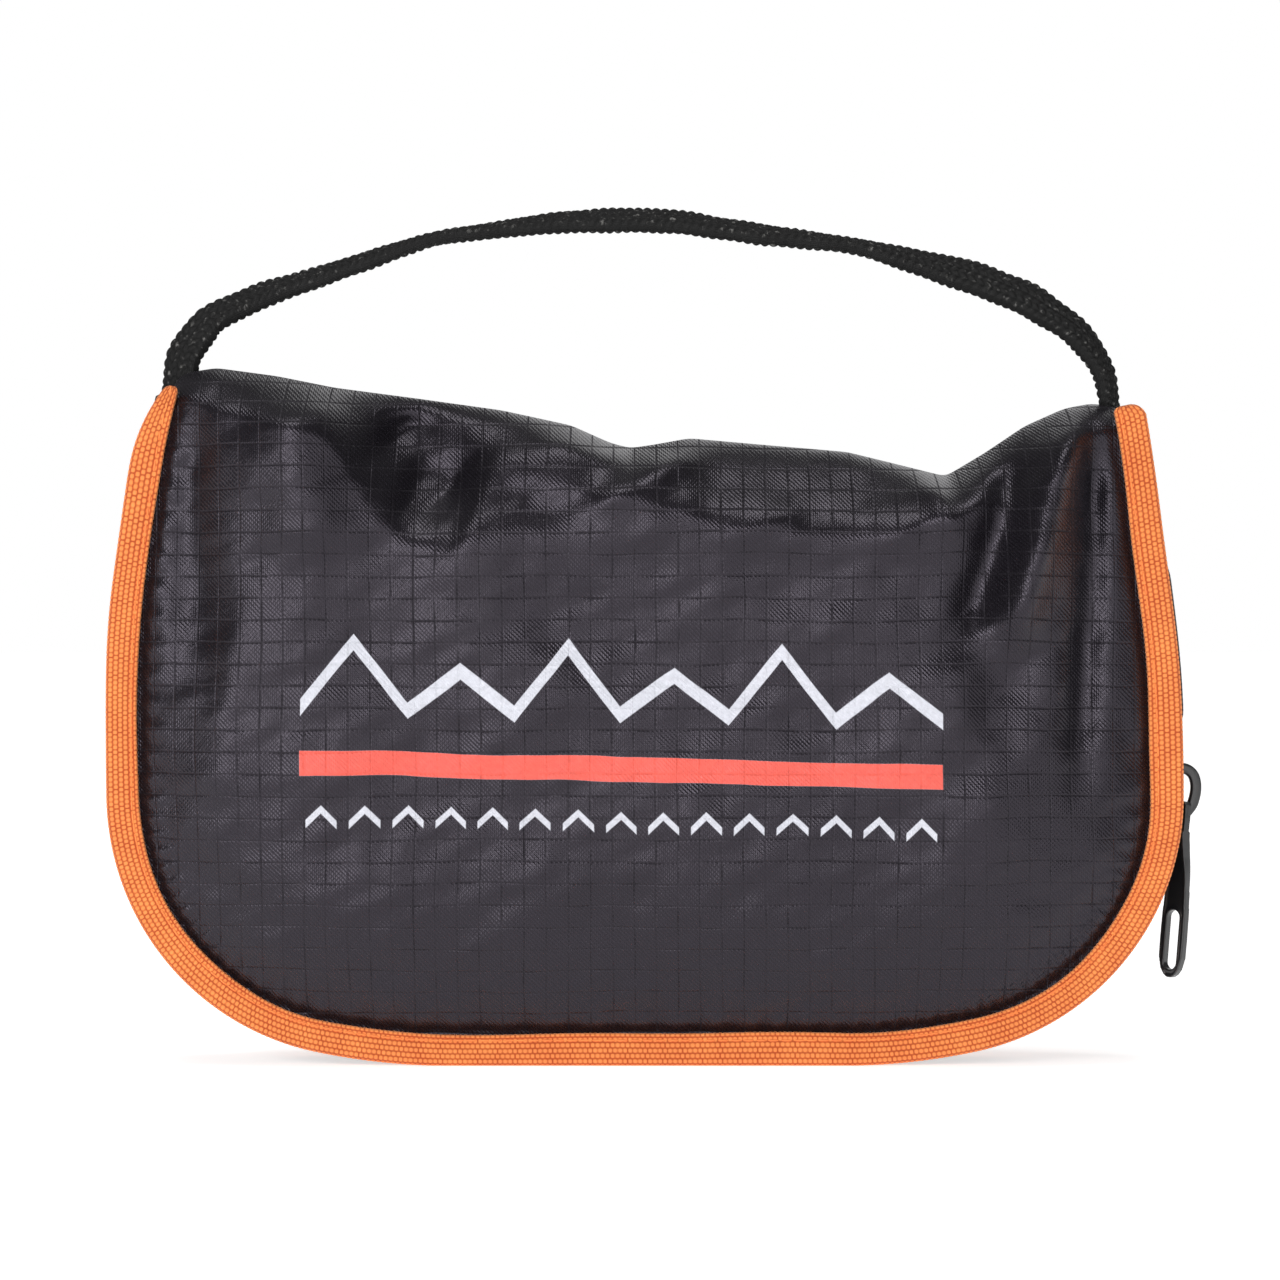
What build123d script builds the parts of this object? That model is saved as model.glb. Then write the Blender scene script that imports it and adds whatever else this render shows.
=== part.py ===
"""A closed zip pouch for a pair of microspikes.

One ripstop sheet is folded over the top and hangs down as a front and a back panel. Folded tape
binds the U-shaped edge of each panel, and a coil zip runs between the two bindings, from the left
end of the fold down, along the bottom and up to the right end. A webbing handle is sewn in at the
two ends of the fold.

Millimetres, +Z up, front towards -Y. The origin is on the ground, in the middle of the whole.
"""

from build123d import *
from math import asin, cos, degrees, pi, radians, sin
import os

os.makedirs("parts", exist_ok=True)

# The rim: the U that both bindings follow, seen from the front
flat_half = 45.0  # half of the straight bottom
heel_radius = 150.0  # slow curve that leads into the corner
heel_turn = 12.0
corner_radius = 60.3
side_radius = 475.0  # the sides lean in towards the top along this arc
rim_top = 150.5

# Depths, measured from the middle of the zip
rim_back = 12.0  # where a binding starts
rim_front = 14.6  # its outer face
belly = 28.0  # the fullest point of a panel

# Folded binding tape
binding_width = 7.3
binding_round = 0.8
leaf = 0.8  # thickness of each leaf of the fold
leaf_gap = 1.0  # room between the leaves, for the edge of the sheet
fold_of_tape = 2.3  # solid part beside the fold

# Ripstop sheet
sheet = 0.8
sheet_inset = 7.5
flange_inset = 2.6
fold_z = 153.0
fold_shoulder = 149.0  # height of the sheet above the rims
gable_z = 143.0  # the sheet closes the ends of the fold down to here
crown_y = -4.0  # the front panel bends open along this line
crown_gap = 0.3
fold_slices = (0.0, 4.0, 9.0)  # depths of the slices that round the fold
bowl_slices = 4
belly_inset = 36.0  # how far the fullest part is drawn in from the edge
belly_drop = 40.0

# Coil zip
tape_thickness = 0.6
tape_inset = 3.8
tape_edge = 1.3  # from the middle of the zip to the free edge of a tape
coil_height = 2.4
coil_width = 3.15
coil_gap = 0.15
parted_gap = 1.35  # the rows stand this far from the middle above the slider
coil_round = 0.9
coil_top = 146.0
stop_gap = 0.3
stop_length = 2.2

# Slider
slider_length = 14.0
slider_width = 12.0
slider_round = 3.0
plate = 1.0
channel_play = 0.8
flange = 0.3
flange_width = 0.9
post_width = 1.8
post_length = 4.0
bail_width = 2.4
bail_bar = 1.6
bail_round = 3.9
bail_clear = 1.5  # from the outer plate to the pull's pivot
bail_end = 0.2  # from the tip of the plate to the foot of the bail

# Pull tab, measured down from its pivot
tab_foot = 40.2
tab_width = 7.6
tab_thickness = 1.7
tab_lean = 5.0
tab_round = 3.6
head_round = 1.4
eye_top = 0.95
eye_bottom = 4.35
eye_width = 3.6
slot_centre = 30.6
slot_length = 13.8
slot_width = 3.4

# Webbing handle
web_width = 10.0
web_thickness = 2.0
web_y = 5.0
leg_x = 106.5
leg_foot = 154.6
leg_length = 3.5
shoulder_turn = 65.0
shoulder_radius = 20.0
arch_radius = 225.0
web_tilt = 60.0
web_sections = 29
tack_length = 8.0
tack_width = 2.2
tack_height = 0.5

# Thread
thread = 0.4
seam_inset = 5.9

# Derived places
half_width = (
    flat_half
    + heel_radius * sin(radians(heel_turn))
    + corner_radius * (1 - sin(radians(heel_turn)))
)
corner_z = heel_radius * (1 - cos(radians(heel_turn))) + corner_radius * cos(radians(heel_turn))
zip_x = half_width - tape_inset  # outer face of the tapes where the side starts
plate_x = zip_x + coil_height + channel_play + plate
pivot_x = plate_x + bail_clear
pivot_z = corner_z - slider_length / 2 + bail_round + bail_end
case_x = -(pivot_x + bail_round - half_width) / 2  # the bail stands out on the right only


def upright(y):
    """The plane across the case at depth y, with its own x to the right and y up."""
    return Plane(origin=(case_x, y, 0), x_dir=(1, 0, 0), z_dir=(0, -1, 0))


def level(z):
    """The plane through the case at height z."""
    return Plane(origin=(case_x, 0, z), x_dir=(1, 0, 0), z_dir=(0, 0, 1))


def side_turn(inset, top):
    """How far the side arc turns from the corner up to the height top."""
    return degrees(asin((top - corner_z) / (side_radius - inset)))


def left_side(inset, top):
    """The left side of the rim, from the top down to the corner."""
    turn = side_turn(inset, top)
    radius = side_radius - inset
    lean = radians(turn)
    start = (side_radius - half_width - radius * cos(lean), top)
    return JernArc(start, (-sin(lean), -cos(lean)), radius, turn)


def bowl(inset):
    """The corners and the bottom of the rim, from the left side to the right one."""
    tip = (inset - half_width, corner_z)
    left_corner = JernArc(tip, (0, -1), corner_radius - inset, 90 - heel_turn)
    left_heel = JernArc(left_corner @ 1, left_corner % 1, heel_radius - inset, heel_turn)
    bottom = Line(left_heel @ 1, (left_heel @ 1) + (2 * flat_half, 0))
    right_heel = JernArc(bottom @ 1, bottom % 1, heel_radius - inset, heel_turn)
    return JernArc(right_heel @ 1, right_heel % 1, corner_radius - inset, 90 - heel_turn)


def right_side(inset, top):
    """The right side of the rim, from the corner up to the top."""
    start = (half_width - inset, corner_z)
    return JernArc(start, (0, 1), side_radius - inset, side_turn(inset, top))


def panel_face(y, inset, top):
    """The whole outline of a panel at depth y, drawn in by inset and cut off level at top."""
    with BuildSketch(upright(y)) as outline:
        with BuildLine():
            start = left_side(inset, top)
            bowl(inset)
            end = right_side(inset, top)
            Line(end @ 1, start @ 0)
        make_face()
    return outline.sketch


def square_to(path, end):
    """The plane square to a path at one end: x points out of the case, y backwards."""
    tangent = path.line % end
    return Plane(origin=path.line @ end, x_dir=Vector(0, 1, 0).cross(tangent), z_dir=tangent)


def panel(side):
    """One panel with its share of the fold: a shallow bowl, open towards the middle of the case."""
    lip = rim_back + leaf + (leaf_gap + sheet) / 2
    if side < 0:
        fold = [crown_y, -fold_slices[-1]]
    else:
        fold = [crown_y + crown_gap, *fold_slices]
    steps = [number / bowl_slices for number in range(bowl_slices + 1)]

    def fold_face(y, wall):
        """A slice through the fold, which is round from one panel to the other."""
        rise = fold_z - (fold_z - fold_shoulder) * (y / lip) ** 2
        return panel_face(y, sheet_inset + wall, rise - wall)

    def bowl_face(step, wall):
        """A slice through the bowl, from its lip at step 0 to its fullest part at step 1."""
        depth = lip + (belly - lip) * sin(step * pi / 2) - wall * step
        drawn = 1 - cos(step * pi / 2)
        top = fold_shoulder - belly_drop * drawn - wall
        return panel_face(side * depth, sheet_inset + belly_inset * drawn + wall, top)

    outer = [fold_face(y, 0) for y in fold] + [bowl_face(step, 0) for step in steps]
    mouth = [fold[0] - side * sheet] + fold[1:]
    inner = [fold_face(y, sheet) for y in mouth] + [bowl_face(step, sheet) for step in steps]
    held = side * (lip - sheet)
    edge = panel_face(held, flange_inset, rim_top) - panel_face(held, sheet_inset + sheet / 2, fold_z)
    with BuildPart() as shell:
        loft(sections=outer, ruled=True)
        loft(sections=inner, ruled=True, mode=Mode.SUBTRACT)
        # between the rims the sheet is only the fold and the gables at its ends
        with BuildSketch(level(0)):
            with Locations((0, (fold[0] + held) / 2)):
                Rectangle(2 * half_width, abs(fold[0] - held))
        extrude(amount=gable_z, mode=Mode.SUBTRACT)
        # the flat edge that the binding holds
        extrude(edge, amount=-side * sheet)
    return shell


def binding(side):
    """Folded tape round the edge of one panel: two leaves, joined along the outer edge."""
    middle = side * (rim_back + rim_front) / 2
    with BuildPart() as tape:
        with BuildLine(upright(0)) as path:
            left_side(0, rim_top)
            bowl(0)
            right_side(0, rim_top)
        with BuildSketch(square_to(path, 0)):
            with Locations((-binding_width / 2, middle)):
                Rectangle(binding_width, rim_front - rim_back)
            with Locations((-(fold_of_tape + binding_width) / 2, middle)):
                Rectangle(binding_width - fold_of_tape, leaf_gap, mode=Mode.SUBTRACT)
            fillet(vertices().group_by(Axis.X)[-1], binding_round)
        sweep()
    return tape


def binding_seam(side):
    """The run of thread that closes one binding, laid on its outer face."""
    with BuildPart() as seam:
        with BuildLine(upright(0)) as path:
            left_side(seam_inset, rim_top - thread)
            bowl(seam_inset)
            right_side(seam_inset, rim_top - thread)
        with BuildSketch(square_to(path, 0)):
            with Locations((0, side * (rim_front + thread / 2))):
                Rectangle(2 * thread, thread)
        sweep()
    return seam


def zip_tape(side):
    """The woven tape of one half of the zip, from its binding to the rows of coil."""
    with BuildPart() as tape:
        with BuildLine(upright(0)) as path:
            left_side(tape_inset, rim_top)
            bowl(tape_inset)
            right_side(tape_inset, rim_top)
        with BuildSketch(square_to(path, 0)):
            with Locations((-tape_thickness / 2, side * (tape_edge + rim_back) / 2)):
                Rectangle(tape_thickness, rim_back - tape_edge)
        sweep()
    return tape


def coil_section(path, end, middle):
    """The section of a row of coil, standing on the outer face of its tape."""
    with BuildSketch(square_to(path, end)) as section:
        with Locations((coil_height / 2, middle)):
            RectangleRounded(coil_height, coil_width, coil_round)
    return section.sketch


def zip_coil(side):
    """One row of coil: meshed up to the slider's place, and parted above it on the right."""
    with BuildLine(upright(0)) as meshed:
        left_side(tape_inset, coil_top)
        bowl(tape_inset)
    with BuildLine(upright(0)) as parted:
        right_side(tape_inset, coil_top)
    with BuildPart() as coil:
        sweep(coil_section(meshed, 0, side * (coil_gap + coil_width / 2)), path=meshed.line)
        sweep(coil_section(parted, 0, side * (parted_gap + coil_width / 2)), path=parted.line)
    return coil


def top_stop(side):
    """The stop moulded on the right end of one tape, above the last turn of its coil."""
    with BuildLine(upright(0)) as path:
        right_side(tape_inset, coil_top + stop_gap)
    with BuildPart() as stop:
        extrude(coil_section(path, 1, side * (parted_gap + coil_width / 2)), amount=stop_length)
    return stop


def handle_tack(side):
    """The bar of close stitches that holds one end of the handle on the fold."""
    with BuildPart() as tack:
        with BuildSketch(level(fold_z)):
            with Locations((side * leg_x, web_y)):
                SlotOverall(tack_length, tack_width)
        extrude(amount=tack_height)
    return tack


def finish(piece, name):
    """Name a finished piece and write it."""
    piece.part.label = name
    export_step(piece.part, "parts/" + name + ".step")


# Panels and what is sewn to them, front and back
for end, side in (("front", -1), ("back", 1)):
    finish(panel(side), end + "_panel")
    finish(binding(side), end + "_binding")
    finish(binding_seam(side), end + "_binding_seam")
    finish(zip_tape(side), end + "_zip_tape")
    finish(zip_coil(side), end + "_zip_coil")
    finish(top_stop(side), end + "_top_stop")

# Stop at the left end of the zip, across both rows
with BuildLine(upright(0)) as left_end:
    left_side(tape_inset, coil_top + stop_gap)
with BuildPart() as bottom_stop:
    with BuildSketch(square_to(left_end, 0)):
        with Locations((coil_height / 2, 0)):
            RectangleRounded(coil_height, 2 * (coil_gap + coil_width), coil_round)
    extrude(amount=-stop_length)
finish(bottom_stop, "bottom_stop")


def across_zip(x):
    """The plane that faces out of the case's right side at x, centred on the slider's place."""
    return Plane(origin=(case_x + x, 0, corner_z), x_dir=(0, 1, 0), z_dir=(1, 0, 0))


# Slider: two plates joined by a post that parts the rows, with a low flange along each edge
inner_plate = zip_x - tape_thickness - channel_play - plate
with BuildPart() as slider_body:
    for x in (inner_plate, plate_x - plate):
        with BuildSketch(across_zip(x)):
            RectangleRounded(slider_width, slider_length, slider_round)
        extrude(amount=plate)
    for x in (inner_plate + plate, plate_x - plate - flange):
        with BuildSketch(across_zip(x)):
            with GridLocations(slider_width - flange_width, 0, 2, 1):
                Rectangle(flange_width, slider_length / 2)
        extrude(amount=flange)
    with BuildSketch(across_zip(inner_plate)):
        with Locations((0, (slider_length - post_length) / 2 - bail_end)):
            SlotOverall(post_length, post_width, rotation=90)
    extrude(amount=plate_x - inner_plate)
finish(slider_body, "slider_body")

# Bail: a D of flat bar that stands on the outer plate
bail_rise = pivot_x + bail_round - plate_x
bail_height = slider_length - 2 * bail_end
with BuildPart() as slider_bail:
    with BuildSketch(upright(0)):
        with Locations((plate_x + bail_rise / 2, corner_z)):
            Rectangle(bail_rise, bail_height)
        fillet(vertices().group_by(Axis.X)[-1], bail_round)
    extrude(amount=bail_width / 2, both=True)
    with BuildSketch(upright(0)):
        with Locations((plate_x + (bail_rise - bail_bar) / 2, corner_z)):
            Rectangle(bail_rise - bail_bar, bail_height - 2 * bail_bar)
        fillet(vertices().group_by(Axis.X)[-1], bail_round - bail_bar)
    extrude(amount=bail_width / 2, both=True, mode=Mode.SUBTRACT)
finish(slider_bail, "slider_bail")

# Pull tab: a flat tab with an eye round the bail and a slot near its foot
lean = radians(tab_lean)
tab_plane = Plane(
    origin=(case_x + pivot_x, 0, pivot_z),
    x_dir=(0, 1, 0),
    z_dir=(cos(lean), 0, -sin(lean)),
)
with BuildPart() as pull_tab:
    with BuildSketch(tab_plane):
        with Locations((0, (eye_top - tab_foot) / 2)):
            Rectangle(tab_width, tab_foot + eye_top)
        fillet(vertices().group_by(Axis.Y)[-1], head_round)
        fillet(vertices().group_by(Axis.Y)[0], tab_round)
        with Locations((0, -(eye_top + eye_bottom) / 2)):
            Rectangle(eye_width, eye_bottom - eye_top, mode=Mode.SUBTRACT)
        with Locations((0, -slot_centre)):
            SlotOverall(slot_length, slot_width, rotation=90, mode=Mode.SUBTRACT)
    extrude(amount=tab_thickness / 2, both=True)
finish(pull_tab, "pull_tab")

# Handle: webbing that stands up from one end of the fold and comes down at the other
with BuildLine(Plane(origin=(case_x, web_y, 0), x_dir=(1, 0, 0), z_dir=(0, -1, 0))) as arch:
    left_leg = Line((-leg_x, leg_foot), (-leg_x, leg_foot + leg_length))
    left_bend = JernArc(left_leg @ 1, left_leg % 1, shoulder_radius, -shoulder_turn)
    crest = JernArc(left_bend @ 1, left_bend % 1, arch_radius, 2 * (shoulder_turn - 90))
    right_bend = JernArc(crest @ 1, crest % 1, shoulder_radius, -shoulder_turn)
    Line(right_bend @ 1, (right_bend @ 1) - (0, leg_length))
web_faces = []
for number in range(web_sections):
    share = number / (web_sections - 1)
    along = arch.line % share
    across = Plane(origin=arch.line @ share, x_dir=Vector(0, 1, 0).cross(along), z_dir=along)
    with BuildSketch(across) as web_face:
        Rectangle(web_width, web_thickness, rotation=web_tilt * sin(pi * share) ** 2)
    web_faces.append(web_face.sketch)
with BuildPart() as handle:
    loft(sections=web_faces, ruled=True)
finish(handle, "handle")

finish(handle_tack(-1), "left_handle_tack")
finish(handle_tack(1), "right_handle_tack")
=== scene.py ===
"""The zip pouch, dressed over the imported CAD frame: cloth, tape, zip, slider, handle and print.

Local shapes are worked out in millimetres, with x from the middle of the case, and go into the
frame's metres at the end.
"""

import math

import bmesh
import bpy
import numpy as np
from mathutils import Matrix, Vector


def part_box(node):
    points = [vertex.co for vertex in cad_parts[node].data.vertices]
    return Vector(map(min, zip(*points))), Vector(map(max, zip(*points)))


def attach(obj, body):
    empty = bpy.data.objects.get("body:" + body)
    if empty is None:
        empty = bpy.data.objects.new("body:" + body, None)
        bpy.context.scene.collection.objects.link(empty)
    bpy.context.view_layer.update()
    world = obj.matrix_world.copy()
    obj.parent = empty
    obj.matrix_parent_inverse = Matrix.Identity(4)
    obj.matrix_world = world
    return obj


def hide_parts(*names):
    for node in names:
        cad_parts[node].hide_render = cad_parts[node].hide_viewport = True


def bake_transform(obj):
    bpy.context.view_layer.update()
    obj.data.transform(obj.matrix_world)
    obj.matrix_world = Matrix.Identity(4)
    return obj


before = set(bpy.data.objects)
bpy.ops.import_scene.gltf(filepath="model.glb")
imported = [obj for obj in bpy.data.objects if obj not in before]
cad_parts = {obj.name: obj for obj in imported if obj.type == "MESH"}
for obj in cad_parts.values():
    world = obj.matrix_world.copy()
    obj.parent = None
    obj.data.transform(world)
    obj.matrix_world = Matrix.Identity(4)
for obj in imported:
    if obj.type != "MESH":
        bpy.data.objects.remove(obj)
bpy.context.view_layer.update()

# ---------------------------------------------------------------- sizes, as in the CAD (mm)
MM = 0.001
FLAT, HEEL_R, HEEL_TURN, CORNER_R, SIDE_R = 45.0, 150.0, math.radians(12), 60.3, 475.0
HALF = FLAT + HEEL_R * math.sin(HEEL_TURN) + CORNER_R * (1 - math.sin(HEEL_TURN))
CORNER_Z = HEEL_R * (1 - math.cos(HEEL_TURN)) + CORNER_R * math.cos(HEEL_TURN)
RIM_TOP, RIM_BACK, RIM_FRONT = 150.5, 12.0, 14.6
SEAM_Y = (RIM_BACK + RIM_FRONT) / 2
BINDING_W = 7.3
TAPE_IN, TAPE_T, TAPE_EDGE = 3.8, 0.6, 1.3
COIL_H, COIL_W, COIL_TOP = 2.4, 3.15, 146.0
rim_lo, rim_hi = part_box("front_binding")
CASE_X = (rim_lo.x + rim_hi.x) / 2 / MM


def smooth(t):
    t = np.clip(t, 0, 1)
    return t * t * (3 - 2 * t)


# ---------------------------------------------------------------- the rim
def rim_curve(step, top=RIM_TOP):
    """Points, outward normals and lengths along the U, from the top left round to the top right."""
    def arc(cx, cz, radius, a0, a1):
        count = max(2, round(radius * abs(a1 - a0) / step))
        a = np.linspace(a0, a1, count, endpoint=False)
        n = np.stack([np.sin(a), -np.cos(a)], 1)
        return np.array([cx, cz]) + radius * n, n

    count = max(2, round(FLAT / step))
    flat = np.stack([np.linspace(0, FLAT, count, endpoint=False), np.zeros(count)], 1)
    end = math.pi / 2 + math.asin((top - CORNER_Z) / SIDE_R)
    parts = [
        (flat, np.tile([0.0, -1.0], (count, 1))),
        arc(FLAT, HEEL_R, HEEL_R, 0, HEEL_TURN),
        arc(HALF - CORNER_R, CORNER_Z, CORNER_R, HEEL_TURN, math.pi / 2),
        arc(HALF - SIDE_R, CORNER_Z, SIDE_R, math.pi / 2, end),
    ]
    last = np.array([math.sin(end), -math.cos(end)])
    p = np.concatenate([q for q, _ in parts] + [[np.array([HALF - SIDE_R, CORNER_Z]) + SIDE_R * last]])
    n = np.concatenate([q for _, q in parts] + [[last]])
    flip = np.array([-1.0, 1.0])
    p, n = np.concatenate([p[:0:-1] * flip, p]), np.concatenate([n[:0:-1] * flip, n])
    s = np.concatenate([[0], np.cumsum(np.linalg.norm(np.diff(p, axis=0), axis=1))])
    return p, n, s


def warp(v):
    """How the sewn edge hangs: the left end is drawn up, the left side bulges, the right leans in."""
    x, z = v[:, 0], v[:, 2]
    left, right = smooth((-x - 55) / 40), smooth((x - 55) / 40)
    out = v.copy()
    out[:, 2] += 7.4 * left * smooth((z - 112) / 42) + 2.4 * right * smooth((z - 118) / 34)
    out[:, 0] -= 1.3 * left * np.exp(-(((z - 104) / 26) ** 2))
    out[:, 0] += 1.2 * left * smooth((z - 136) / 18) - 0.9 * right * smooth((z - 85) / 40)
    return out


def to_frame(v):
    return (v + np.array([CASE_X, 0, 0])) * MM


# ---------------------------------------------------------------- meshes
def build(name, verts, faces, uv=None, relief=None):
    """A mesh object from mm points; faces turn outwards if the mesh is closed."""
    verts = np.asarray(verts, float)
    tri = np.array([f[:3] for f in faces])
    a, b, c = verts[tri[:, 0]], verts[tri[:, 1]], verts[tri[:, 2]]
    if np.einsum("ij,ij->", a, np.cross(b, c)) < 0:
        faces = [tuple(reversed(f)) for f in faces]
    mesh = bpy.data.meshes.new(name)
    mesh.from_pydata(to_frame(verts).tolist(), [], [tuple(int(i) for i in f) for f in faces])
    mesh.polygons.foreach_set("use_smooth", np.ones(len(mesh.polygons), bool))
    if uv is not None:
        index = np.zeros(len(mesh.loops), np.int32)
        mesh.loops.foreach_get("vertex_index", index)
        mesh.uv_layers.new(name="flat").data.foreach_set("uv", (uv[index] * MM).astype(np.float32).ravel())
    if relief is not None:
        mesh.attributes.new("relief", "FLOAT", "POINT").data.foreach_set(
            "value", np.asarray(relief, np.float32).ravel()
        )
    obj = bpy.data.objects.new(name, mesh)
    bpy.context.collection.objects.link(obj)
    return obj


def tube_faces(n, m, first=0, caps=True):
    """Faces of a closed tube of n rings of m points."""
    i, j = np.meshgrid(np.arange(n - 1), np.arange(m), indexing="ij")
    k = (j + 1) % m
    quads = np.stack([i * m + j, i * m + k, (i + 1) * m + k, (i + 1) * m + j], -1).reshape(-1, 4) + first
    faces = [tuple(q) for q in quads.tolist()]
    if caps:
        near, far = range(first + m - 1, first - 1, -1), range(first + (n - 1) * m, first + n * m)
        faces += [tuple(near), tuple(far)]
    return faces


def section_box(x0, x1, y0, y1, r_in, r_out, spacing):
    """A closed rounded section with its running length; x is outwards, y is depth."""
    def corner(cx, cy, r, a0):
        count = max(3, round(r * math.pi / 2 / spacing) + 1)
        turn = np.linspace(a0, a0 + math.pi / 2, count)
        return [(cx + r * math.cos(a), cy + r * math.sin(a)) for a in turn]

    def run(p, q):
        count = max(1, round(math.dist(p, q) / spacing))
        share = np.linspace(0, 1, count, endpoint=False)[1:]
        return [tuple(np.array(p) + (np.array(q) - np.array(p)) * t) for t in share]

    corners = [
        corner(x1 - r_out, y1 - r_out, r_out, 0),
        corner(x0 + r_in, y1 - r_in, r_in, math.pi / 2),
        corner(x0 + r_in, y0 + r_in, r_in, math.pi),
        corner(x1 - r_out, y0 + r_out, r_out, 1.5 * math.pi),
    ]
    pts = []
    for number, arc in enumerate(corners):
        pts += arc + run(arc[-1], corners[(number + 1) % 4][0])
    pts = np.array(pts)
    ahead, behind = np.roll(pts, -1, 0), np.roll(pts, 1, 0)
    t = ahead - behind
    t /= np.linalg.norm(t, axis=1)[:, None]
    normal = np.stack([t[:, 1], -t[:, 0]], 1)
    q = np.concatenate([[0], np.cumsum(np.linalg.norm(np.diff(pts, axis=0), axis=1))])
    return pts, normal, q


def weave(q, s, pitch_q, pitch_s, power=0.6):
    """0 to 1: the height of a plain weave, in rows along s whose floats start half a pitch apart."""
    row = np.floor(q / pitch_q)
    across = np.abs(np.sin(np.pi * q / pitch_q)) ** power
    along = np.abs(np.sin(np.pi * (s / pitch_s + 0.5 * (row % 2)))) ** power
    return across * along


def on_rim(p, n, off):
    """Places of a section, given as outward and depth offsets, at points of the rim."""
    out, deep = off[..., 0], off[..., 1]
    return np.stack([p[:, None, 0] + n[:, None, 0] * out, deep, p[:, None, 1] + n[:, None, 1] * out], -1)


def along_rim(name, section, normal, q, step, top, height=0.0, pitch=(1.2, 1.15), shift=None, ends=None):
    """A section swept along the rim, with a woven relief."""
    p, n, s = rim_curve(step, top)
    h = weave(q[None, :], s[:, None], *pitch)
    off = section[None, :, :] + normal[None, :, :] * (h * height)[:, :, None]
    if shift is not None:
        off = off + shift(p, s, section)
    if ends is not None:
        off = ends(off, s)
    v = on_rim(p, n, off)
    uv = np.stack(np.broadcast_arrays(q[None, :], s[:, None]), -1).reshape(-1, 2)
    return build(name, warp(v.reshape(-1, 3)), tube_faces(len(p), len(section)), uv, h)


def capsules(name, points, tangents, normals, length, radius):
    """Stitches: short rounded bars that dip at both ends."""
    m, verts, faces = 8, [], []
    profile = [  # place along the stitch, width and lift
        (-0.5, 0.35, -0.9), (-0.42, 0.8, -0.4), (-0.25, 1, 0.1), (0, 1, 0.25),
        (0.25, 1, 0.1), (0.42, 0.8, -0.4), (0.5, 0.35, -0.9),
    ]
    for p, t, n in zip(points, tangents, normals):
        b = np.cross(t, n)
        first = len(verts)
        for along, size, up in profile:
            c = p + t * along * length + n * up * radius
            for k in range(m):
                a = 2 * math.pi * k / m
                verts.append(c + (n * math.cos(a) + b * math.sin(a)) * radius * size)
        faces += tube_faces(len(profile), m, first)
    return build(name, np.array(verts), faces)


# ---------------------------------------------------------------- shader helpers
def new_material(name):
    m = bpy.data.materials.new(name)
    m.use_nodes = True
    return m, m.node_tree, m.node_tree.nodes["Principled BSDF"]


def calc(nt, op, a, b=0.0, c=0.0, clamp=False):
    node = nt.nodes.new("ShaderNodeMath")
    node.operation, node.use_clamp = op, clamp
    for socket, value in zip(node.inputs, (a, b, c)):
        if isinstance(value, bpy.types.NodeSocket):
            nt.links.new(value, socket)
        else:
            socket.default_value = value
    return node.outputs[0]


def mix(nt, factor, a, b):
    node = nt.nodes.new("ShaderNodeMix")
    node.data_type = "RGBA"
    for socket, value in zip((node.inputs[0], node.inputs[6], node.inputs[7]), (factor, a, b)):
        if isinstance(value, bpy.types.NodeSocket):
            nt.links.new(value, socket)
        elif isinstance(value, (tuple, list)):
            socket.default_value = (*value, 1)
        else:
            socket.default_value = value
    return node.outputs[2]


def noise(nt, vector, scale, detail=2.0, rough=0.5):
    node = nt.nodes.new("ShaderNodeTexNoise")
    node.inputs["Scale"].default_value = scale
    node.inputs["Detail"].default_value = detail
    node.inputs["Roughness"].default_value = rough
    if vector is not None:
        nt.links.new(vector, node.inputs["Vector"])
    return node.outputs["Fac"]


def uv_mm(nt):
    """The flat coordinates of the cloth, in mm, and the vector they come from."""
    coords = nt.nodes.new("ShaderNodeTexCoord").outputs["UV"]
    split = nt.nodes.new("ShaderNodeSeparateXYZ")
    nt.links.new(coords, split.inputs[0])
    u, v = (calc(nt, "MULTIPLY", split.outputs[k], 1 / MM) for k in (0, 1))
    return u, v, coords


def bump(nt, bsdf, height, distance, strength=1.0):
    node = nt.nodes.new("ShaderNodeBump")
    node.inputs["Strength"].default_value = strength
    node.inputs["Distance"].default_value = distance
    nt.links.new(height, node.inputs["Height"])
    nt.links.new(node.outputs[0], bsdf.inputs["Normal"])


def set_values(bsdf, **values):
    for key, value in values.items():
        bsdf.inputs[key.replace("_", " ")].default_value = value


def band(nt, value, low, high, soft=0.12):
    """1 between low and high, with soft edges."""
    up = calc(nt, "DIVIDE", calc(nt, "SUBTRACT", value, low), soft, clamp=True)
    down = calc(nt, "DIVIDE", calc(nt, "SUBTRACT", high, value), soft, clamp=True)
    return calc(nt, "MULTIPLY", up, down)


# ---------------------------------------------------------------- materials
RIPSTOP_PITCH, TWILL_PITCH, THREAD_PITCH = 5.0, 1.02, 0.48  # mm
CLOTH_BUMP = 0.00016
PRINT_LEFT, PRINT_RIGHT, PRINT_DROOP = -78.5, 67.5, 0.0235
STRIPE_LOW, STRIPE_HIGH = 67.4, 73.1
PEAK_PERIOD, CHEVRON_PERIOD = 24.333, 9.733


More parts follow.
